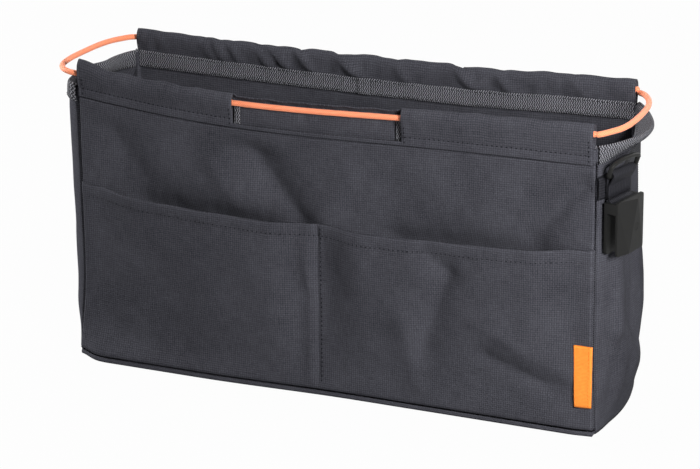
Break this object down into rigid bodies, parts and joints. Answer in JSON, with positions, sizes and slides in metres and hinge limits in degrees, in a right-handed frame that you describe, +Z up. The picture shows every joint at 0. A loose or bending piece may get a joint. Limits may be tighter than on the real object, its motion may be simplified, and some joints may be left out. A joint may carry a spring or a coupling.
{
  "type": "stroller organizer",
  "caption": "Soft open-top organizer with a front pocket, elastic cord in rim casings that forms a loop at each end, and a D-ring and a hook clip on webbing at one end.",
  "frame": {"origin": "middle of the underside of the base, between the side seams", "axes": "+Z up, +X along the width towards the end with the clip, the pocket faces -Y"},
  "size_m": [0.4246, 0.1075, 0.221],
  "materials": {
    "fabric": "matt woven, charcoal",
    "tape": "knitted binding, charcoal",
    "webbing": "ribbed webbing, black",
    "plastic": "satin moulded, black",
    "cord": "braided cover over rubber, orange",
    "label": "woven ribbon, orange, bare",
    "board": "plain sheet"
  },
  "bodies": {
    "bag": {"front_panel": "fabric", "back_panel": "fabric", "left_gusset": "fabric", "right_gusset": "fabric", "base_panel": "fabric", "base_board": "board", "front_pocket": "fabric", "front_casing": "fabric", "back_casing": "fabric", "rim_tape_front": "tape", "rim_tape_back": "tape", "rim_tape_left": "tape", "rim_tape_right": "tape", "cord_front": "cord", "cord_back": "cord", "cord_sleeve": "plastic", "right_band": "webbing", "right_tab": "webbing"},
    "loop_right": {"cord_loop_right": "cord"},
    "loop_left": {"cord_loop_left": "cord"},
    "label": {"side_label": "label"},
    "ring": {"right_ring": "plastic"},
    "clip": {"right_clip_strap": "webbing", "right_clip": "plastic"}
  },
  "joints": [
    {"name": "ring_swing", "type": "hinge", "parent": "bag", "child": "ring", "pos_m": [0.20189, -0.03007, 0.185], "axis": [0.2991, 0.9542, 0], "range_deg": [0, 110]},
    {"name": "clip_swing", "type": "hinge", "parent": "bag", "child": "clip", "pos_m": [0.1996, -0.02935, 0.167], "axis": [-0.2991, -0.9542, 0], "range_deg": [0, 60]},
    {"name": "loop_right_lift", "type": "hinge", "parent": "bag", "child": "loop_right", "pos_m": [0.1905, 0, 0.214], "axis": [0, -1, 0], "range_deg": [-12, 85], "stiffness_Nm_per_rad": 0.02},
    {"name": "loop_left_lift", "type": "hinge", "parent": "bag", "child": "loop_left", "pos_m": [-0.1905, 0, 0.214], "axis": [0, 1, 0], "range_deg": [-12, 85], "stiffness_Nm_per_rad": 0.02},
    {"name": "label_flap", "type": "hinge", "parent": "bag", "child": "label", "pos_m": [0.1908, -0.0516, 0.044], "axis": [0, 0.0159, 0.9999], "range_deg": [0, 150], "stiffness_Nm_per_rad": 0.00002}
  ]
}
